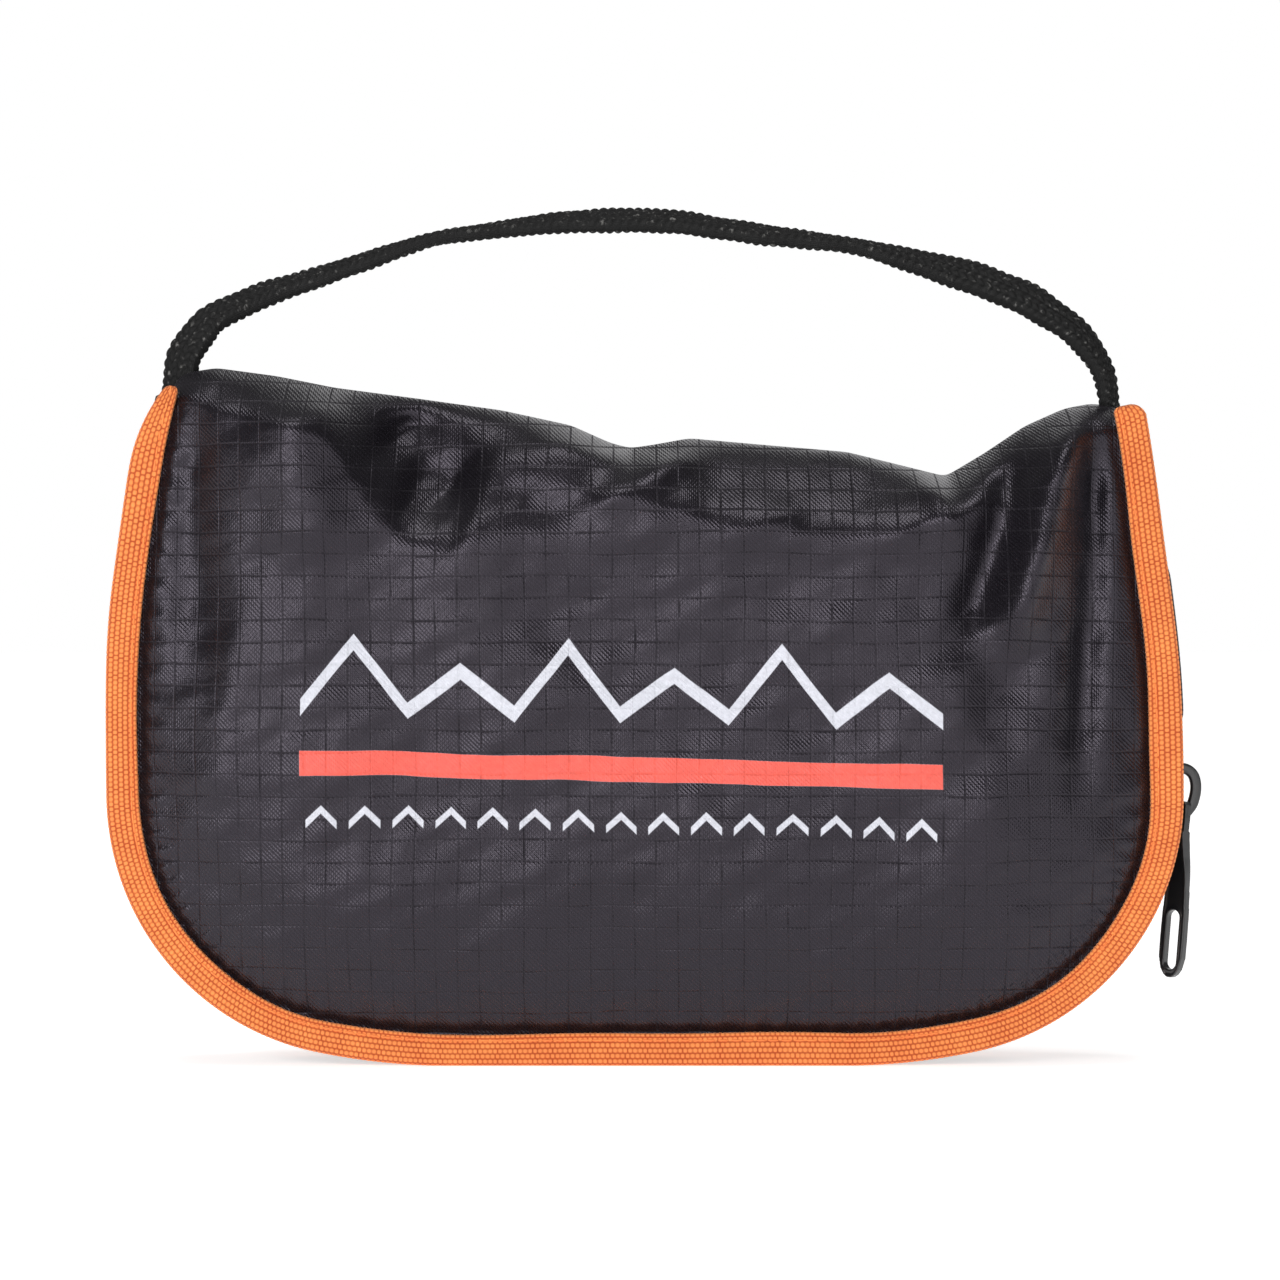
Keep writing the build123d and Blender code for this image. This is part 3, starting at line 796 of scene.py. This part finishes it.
def cast(name, pieces, voxel, rounds):
    """Joins closed rough shapes into one cast body with soft edges."""
    bm = bmesh.new()
    for verts, faces in pieces:
        made = [bm.verts.new(p) for p in verts]
        for f in faces:
            bm.faces.new([made[i] for i in f])
    bmesh.ops.recalc_face_normals(bm, faces=bm.faces)
    mesh = bpy.data.meshes.new(name)
    bm.to_mesh(mesh)
    bm.free()
    obj = bpy.data.objects.new(name, mesh)
    bpy.context.collection.objects.link(obj)
    remesh = obj.modifiers.new("voxels", "REMESH")
    remesh.mode, remesh.voxel_size = "VOXEL", voxel
    soften = obj.modifiers.new("soften", "SMOOTH")
    soften.factor, soften.iterations = 0.5, rounds
    done = bpy.data.meshes.new_from_object(obj.evaluated_get(bpy.context.evaluated_depsgraph_get()))
    co = np.zeros(len(done.vertices) * 3, np.float32)
    done.vertices.foreach_get("co", co)
    faces = [tuple(f.vertices) for f in done.polygons]
    bpy.data.objects.remove(obj)
    return co.reshape(-1, 3).astype(float), faces


def prism(outline, low, high, place):
    """A closed slab from a flat outline; place turns (u, v, w) into a point."""
    n = len(outline)
    verts = [place(u, v, w) for w in (low, high) for u, v in outline]
    faces = [tuple(range(n)), tuple(range(n, 2 * n))]
    faces += [(k, (k + 1) % n, n + (k + 1) % n, n + k) for k in range(n)]
    return verts, faces


def rounded(w, h, r, cu=0.0, cv=0.0, count=7):
    pts = []
    for su, sv, a0 in ((1, 1, 0), (-1, 1, 0.5), (-1, -1, 1.0), (1, -1, 1.5)):
        for a in np.linspace(a0 * math.pi, (a0 + 0.5) * math.pi, count):
            pts.append((cu + su * (w / 2 - r) + r * math.cos(a), cv + sv * (h / 2 - r) + r * math.sin(a)))
    return pts


ZIP_X = HALF - TAPE_IN
PLATE, SLIDER_L, SLIDER_W = 1.0, 14.0, 12.0
PLATE_X = ZIP_X + COIL_H + 0.8 + PLATE
INNER_X = ZIP_X - TAPE_T - 0.8 - PLATE
PIVOT_X, PIVOT_Z = PLATE_X + 1.5, CORNER_Z - SLIDER_L / 2 + 3.9 + 0.2


def facing_out(u, v, w):
    return (w, u, CORNER_Z + v)


def slider_outline(waist):
    """A slider plate seen from outside: broad shoulders at the top and a narrower tail."""
    pts = []
    for u, v in rounded(SLIDER_W, SLIDER_L, 3.2, count=9):
        pts.append((u * (1 - waist * smooth(np.array(-v / SLIDER_L + 0.15)).item()), v))
    return pts


slider_parts = [
    prism(slider_outline(0.16), PLATE_X - PLATE, PLATE_X, facing_out),
    prism(slider_outline(0.16), INNER_X, INNER_X + PLATE, facing_out),
    prism(rounded(1.8, 4.2, 0.85, 0, SLIDER_L / 2 - 2.3), INNER_X + 0.4, PLATE_X - 0.4, facing_out),
    prism(rounded(6.6, 9.6, 2.2, 0, 0.2), PLATE_X - 0.5, PLATE_X + 0.35, facing_out),
]
for side in (-1, 1):
    rail = [(side * (SLIDER_W / 2 - 0.75) + u * 0.5, v) for u, v in rounded(1.9, 7.4, 0.9, 0, -0.4)]
    slider_parts.append(prism(rail, PLATE_X - PLATE - 0.32, PLATE_X - 0.4, facing_out))
    slider_parts.append(prism(rail, INNER_X + 0.4, INNER_X + PLATE + 0.32, facing_out))
verts, faces = cast("slider_body_rough", slider_parts, 0.2, 4)
dress(build("slider_casting", verts, faces), enamel, "slider", ("slider_body",))

# bail: a loop of flat bar, round at its two outer corners
BAR, BAR_LOW = 2.5, 1.9
BAIL_LINE = np.array([
    (-0.9, -5.9), (0.3, -5.85), (1.5, -5.3), (2.7, -3.9), (3.6, -1.9), (4.1, 0.3), (4.1, 2.4), (3.5, 4.3),
    (2.2, 5.5), (0.6, 5.9), (-0.9, 5.9),
])
loop = catmull(BAIL_LINE, 5)
t = np.gradient(loop, axis=0)
t /= np.linalg.norm(t, axis=1)[:, None]
bar_n = np.stack([t[:, 1], -t[:, 0]], 1)
bar_section = np.array(rounded(BAR, 2.4, 0.6, count=5))
bail_v = []
for c, n2 in zip(loop, bar_n):
    slim = (BAR_LOW + (BAR - BAR_LOW) * smooth(np.array((c[1] + 4.8) / 2.5)).item()) / BAR
    for u, w in bar_section * np.array([slim, 1]):
        bail_v.append((PLATE_X + c[0] + n2[0] * u, w, CORNER_Z + c[1] + n2[1] * u))
bail = build("slider_loop", np.array(bail_v), tube_faces(len(loop), len(bar_section)))
dress(bail, enamel, "slider", ("slider_bail",))


# pull: an eye, a tapering stem and a slotted paddle with a raised rim
def pull_shape():
    """One grid over the tab, pierced by the eye and the slot, in (across, down, thick)."""
    voxel = 0.22
    foot, head = -40.2, 0.95
    v_at, w_at = np.array([  # place down the tab and half width
        (foot, 0.6), (-39.5, 1.6), (-38.2, 2.5), (-35.5, 3.2), (-31, 3.3), (-25, 3.15), (-19, 2.8),
        (-12, 2.7), (-6, 3.2), (-3, 3.6), (head - 0.6, 3.3), (head, 2.6),
    ]).T
    vs = np.arange(foot, head + voxel, voxel)
    us = np.arange(-4.4, 4.4 + voxel, voxel)
    ws = np.arange(-1.5, 1.5 + voxel, voxel)
    U, V, W = np.meshgrid(us, vs, ws, indexing="ij")
    half = np.interp(V, v_at, w_at)
    edge_d = half - np.abs(U)
    end_d = np.minimum(V - foot, head - V)
    body = np.minimum(edge_d, end_d)
    eye = np.maximum(np.abs(U) - 1.8, np.abs(V + 2.65) - 1.7)
    slot_len = 13.8 / 2 - 1.7
    slot = np.hypot(U, np.clip(np.abs(V + 31.4) - slot_len, 0, None)) - 1.75
    inside = np.minimum(np.minimum(body, eye), slot)
    rim = np.clip(1 - inside / 1.0, 0, 1)
    thick = 0.72 + 0.3 * smooth(rim * 1.4) * (V < -6)
    return us, vs, ws, np.minimum(inside, thick - np.abs(W))


def surface(us, vs, ws, field):
    """Quads round the cells where the field is positive, moved onto its zero level."""
    solid = np.pad(field > 0, 1)
    f = np.pad(field, 1, mode="edge")
    ids, verts, quads = {}, [], []

    def corner_id(c):
        if c not in ids:
            block = f[c[0] - 1:c[0] + 1, c[1] - 1:c[1] + 1, c[2] - 1:c[2] + 1]
            pos, neg = np.argwhere(block > 0), np.argwhere(block <= 0)
            cross = []
            for i in pos:
                for k in neg:
                    if np.abs(i - k).sum() == 1:
                        a, b = block[tuple(i)], block[tuple(k)]
                        cross.append(i + (k - i) * (a / (a - b)))
            centre = np.mean(cross, axis=0) if cross else np.array([0.5, 0.5, 0.5])
            g = np.array(c) - 2 + centre
            verts.append([np.interp(g[d], np.arange(len(x)), x) for d, x in enumerate((us, vs, ws))])
            ids[c] = len(verts) - 1
        return ids[c]

    for axis in range(3):
        other = [d for d in range(3) if d != axis]
        change = np.argwhere(np.diff(solid.astype(np.int8), axis=axis) != 0)
        for cell in change:
            base = cell.copy()
            base[axis] += 1
            step1, step2 = np.eye(3, dtype=int)[other[0]], np.eye(3, dtype=int)[other[1]]
            ring = [base, base + step1, base + step1 + step2, base + step2]
            quad = [corner_id(tuple(r)) for r in ring]
            rising = not solid[tuple(cell)]
            if rising == (axis != 1):
                quad = quad[::-1]
            quads.append(tuple(quad))
    return np.array(verts), quads


us, vs, ws, field = pull_shape()
tab_v, tab_f = surface(us, vs, ws, field)
u, v, w = tab_v.T
twist = math.radians(8) + math.radians(40) * smooth((-v - 5) / 14)
across = u * np.cos(twist) + w * np.sin(twist)
deep = -u * np.sin(twist) + w * np.cos(twist)
lean = math.radians(4.6)
tab_v = np.stack([
    PIVOT_X + deep * math.cos(lean) + v * math.sin(lean),
    across,
    PIVOT_Z + v * math.cos(lean) - deep * math.sin(lean),
], 1)
dress(build("pull_paddle", tab_v, tab_f), enamel, "pull", ("pull_tab",))

# ---------------------------------------------------------------- handle
ARCH = np.array([  # x, depth, z, roll in degrees, width
    (-109.4, 1.8, 149.8, 30, 4.6), (-109.4, 1.8, 153.5, 30, 6.4), (-109.0, 2.0, 157.6, 32, 8.6),
    (-107.8, 2.6, 164.6, 36, 9.8), (-104.2, 3.4, 171.0, 44, 9.9), (-100.3, 4.0, 174.3, 52, 9.8),
    (-90.9, 4.5, 178.6, 61, 9.7), (-77.1, 5.0, 183.3, 69, 9.8), (-63.3, 5.0, 187.9, 74, 9.8),
    (-49.5, 5.0, 192.2, 84, 9.6), (-35.7, 5.0, 194.3, 77, 9.8), (-21.7, 5.0, 196.0, 69, 9.8),
    (-8.1, 5.0, 196.8, 65, 9.7), (5.7, 5.0, 196.4, 64, 9.8), (19.5, 5.0, 194.6, 67, 9.8),
    (33.3, 5.0, 192.7, 73, 9.8), (47.1, 5.0, 190.9, 78, 9.7), (56.3, 5.0, 189.0, 70, 9.8),
    (70.1, 4.8, 185.2, 54, 9.9), (83.9, 4.4, 180.6, 45, 10.0), (93.1, 4.0, 176.2, 43, 9.9),
    (102.0, 3.4, 169.2, 53, 9.6), (107.0, 2.6, 161.8, 64, 9.4), (108.7, 2.0, 155.0, 68, 8.6),
    (109.1, 1.8, 149.4, 68, 6.0),
])


def webbing(name, stations):
    line = catmull(stations, 24)
    gap = np.linalg.norm(np.diff(line[:, :3], axis=0), axis=1)
    s = np.concatenate([[0], np.cumsum(gap)])
    at = np.arange(0, s[-1], 0.33)
    line = np.stack([np.interp(at, s, line[:, k]) for k in range(5)], 1)
    c, roll, width = line[:, :3], np.radians(line[:, 3]), line[:, 4]
    t = np.gradient(c, axis=0)
    t /= np.linalg.norm(t, axis=1)[:, None]
    depth = np.array([0.0, 1.0, 0.0])
    side = np.cross(t, depth)
    side /= np.linalg.norm(side, axis=1)[:, None]
    face = np.cross(side, t)
    wide = side * np.cos(roll)[:, None] + face * np.sin(roll)[:, None]
    thin = -side * np.sin(roll)[:, None] + face * np.cos(roll)[:, None]
    section, normal, q = section_box(-4.9, 4.9, -1.05, 1.05, 0.95, 0.95, 0.3)
    rib = 1.62
    column = np.floor(section[:, 0] / rib)
    slant = np.where(column % 2 == 0, 1.0, -1.0)
    phase = at[:, None] / 2.05 + slant[None] * section[None, :, 0] / 3.4 + 0.25 * (column[None] % 2)
    h = np.abs(np.sin(np.pi * section[None, :, 0] / rib)) ** 0.5 * np.abs(np.sin(np.pi * phase)) ** 0.7
    c = c + wide * (0.22 * np.sin(at / 5.3) + 0.16 * np.sin(at / 2.2 + 1))[:, None]
    width = width * (1 + 0.035 * np.sin(at / 6.7 + 2) + 0.03 * np.sin(at / 2.7))
    uneven = 1 + 0.3 * np.sin(at / 2.9)[:, None] * np.sin(section[None, :, 0] * 1.7 + at[:, None] / 5.1)
    off = section[None] * np.array([1, 1]) * np.stack([(width / 9.8), np.ones(len(at))], 1)[:, None, :]
    curl = 0.35 * (np.abs(section[:, 0]) / 4.9) ** 2
    off = off + normal[None] * (0.58 * h * uneven)[..., None]
    off[..., 1] += curl[None] * 1.2
    v = c[:, None] + wide[:, None] * off[..., :1] + thin[:, None] * off[..., 1:]
    uv = np.stack(np.broadcast_arrays(q[None, :], at[:, None]), -1).reshape(-1, 2)
    return build(name, v.reshape(-1, 3), tube_faces(len(at), len(section)), uv, h)


strap = webbing("handle_webbing", ARCH)
dress(strap, black_web, None, ("handle",))
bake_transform(strap)

# tacks: close zigzag stitches over the feet of the webbing
for name, node, x in (("left_tack", "left_handle_tack", -108.9), ("right_tack", "right_handle_tack", 108.6)):
    count = 13
    spots, tangents = [], []
    for k in range(count):
        z = 152.4 + (k - count / 2) * 0.32
        lean_k = 0.18 if k % 2 else -0.18
        spots.append((x, 0.3, z + (1.6 if x < 0 else -1.6)))
        tangents.append((math.cos(lean_k), 0.0, math.sin(lean_k)))
    normals = np.tile([0.0, -1.0, 0.0], (count, 1))
    stitches = capsules(name, np.array(spots), np.array(tangents), normals, 4.6, 0.2)
    dress(stitches, black_thread, "back", (node,))

# ---------------------------------------------------------------- stage, light and camera
stage_mesh = bpy.data.meshes.new("stage_floor")
FLOOR_HALF = 30.0
floor_corners = [(sx * FLOOR_HALF, sy * FLOOR_HALF, 0.0) for sx, sy in ((-1, -1), (1, -1), (1, 1), (-1, 1))]
stage_mesh.from_pydata(floor_corners, [], [(0, 1, 2, 3)])
floor = bpy.data.objects.new("stage_floor", stage_mesh)
bpy.context.collection.objects.link(floor)
paper, _, paper_bsdf = new_material("stage_paper")
set_values(paper_bsdf, Roughness=0.9, Specular_IOR_Level=0.1, Emission_Strength=0.62)
paper_bsdf.inputs["Emission Color"].default_value = (1, 1, 1, 1)
paper_bsdf.inputs["Base Color"].default_value = (0.93, 0.93, 0.93, 1)
floor.data.materials.append(paper)


LIGHT_TARGET = (0, 0, 0.1)


def area_light(name, place, width, height, power):
    data = bpy.data.lights.new(name, "AREA")
    data.shape = "RECTANGLE"
    data.energy, data.size, data.size_y = power, width, height
    obj = bpy.data.objects.new(name, data)
    bpy.context.collection.objects.link(obj)
    obj.location = place
    obj.rotation_euler = (Vector(LIGHT_TARGET) - Vector(place)).to_track_quat("-Z", "Y").to_euler()


area_light("front_broad", (-0.75, -1.55, 0.55), 1.0, 0.8, 18)
area_light("front_soft", (0.15, -1.9, 0.35), 0.9, 0.7, 5)
area_light("front_left", (-1.1, -1.4, 0.8), 0.7, 0.9, 4)
area_light("front_right", (1.2, -1.3, 0.6), 0.7, 0.9, 5)
area_light("rear_fill", (0.4, 1.6, 0.9), 1.0, 0.9, 2.5)
sun_data = bpy.data.lights.new("overhead", "SUN")
sun_data.energy, sun_data.angle = 1.15, math.radians(28)
sun = bpy.data.objects.new("overhead", sun_data)
bpy.context.collection.objects.link(sun)
sun.rotation_euler = Vector((0.04, 0.04, -1.0)).to_track_quat("-Z", "Y").to_euler()

world = bpy.data.worlds.new("studio")
bpy.context.scene.world = world
world.use_nodes = True
sky = world.node_tree
seen = sky.nodes.new("ShaderNodeLightPath").outputs["Is Camera Ray"]
sky.nodes["Background"].inputs[0].default_value = (1, 1, 1, 1)
sky.links.new(calc(sky, "MULTIPLY_ADD", seen, 0.87, 0.13), sky.nodes["Background"].inputs[1])
bpy.context.scene.view_settings.view_transform = "Standard"

VIEW_W, LENS, SENSOR = 0.2944, 120.0, 36.0
distance = VIEW_W * LENS / SENSOR
camera_data = bpy.data.cameras.new("camera")
camera_data.lens, camera_data.sensor_width = LENS, SENSOR
camera = bpy.data.objects.new("camera", camera_data)
bpy.context.collection.objects.link(camera)
camera.location = (-0.0041, -RIM_FRONT * MM - distance, 0.0980)
camera.rotation_euler = (math.radians(90), 0, 0)
bpy.context.scene.camera = camera
